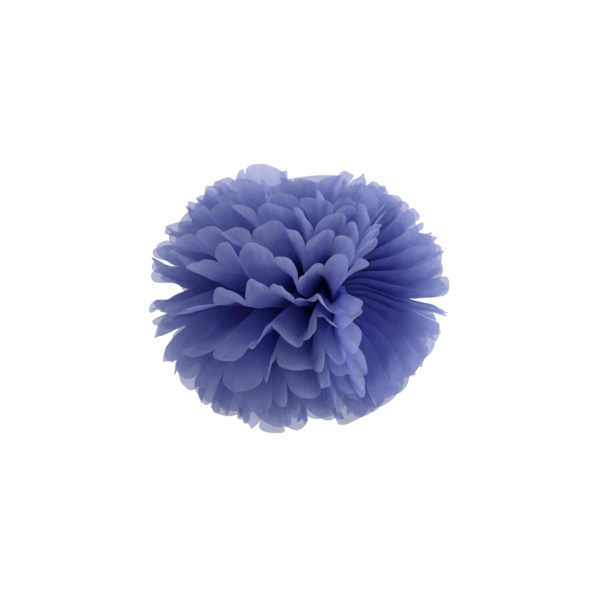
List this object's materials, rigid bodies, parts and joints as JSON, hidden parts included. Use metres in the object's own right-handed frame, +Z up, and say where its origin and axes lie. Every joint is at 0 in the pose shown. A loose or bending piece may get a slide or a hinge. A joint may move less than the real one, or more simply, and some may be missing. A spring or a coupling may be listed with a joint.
{
  "type": "tissue paper pom pom",
  "caption": "Round hanging decoration of pleated tissue paper sheets with petal-cut ends, tied with wire in the middle and fluffed into a ball.",
  "frame": {"origin": "centre of the tie, where the folded sheets are held together and where the pom pom is hung", "axes": "+Z up, in the direction in which the upper sheets are pulled; +X to the right and +Y away from the viewer when the ball is seen as pictured; the folded strip runs 48 degrees from +X towards +Y"},
  "size_m": [0.2496, 0.2569, 0.2202],
  "materials": {
    "tissue": "matt, thin blue-violet tissue paper that light passes through, paler at the tips",
    "wire": "thin bare florist's wire"
  },
  "bodies": {
    "root": {"sheet_01": "tissue", "sheet_02": "tissue", "sheet_03": "tissue", "sheet_04": "tissue", "sheet_05": "tissue", "sheet_06": "tissue", "sheet_07": "tissue", "sheet_08": "tissue", "sheet_09": "tissue", "sheet_10": "tissue", "sheet_11": "tissue", "sheet_12": "tissue", "tie_wire": "wire"}
  },
  "joints": []
}
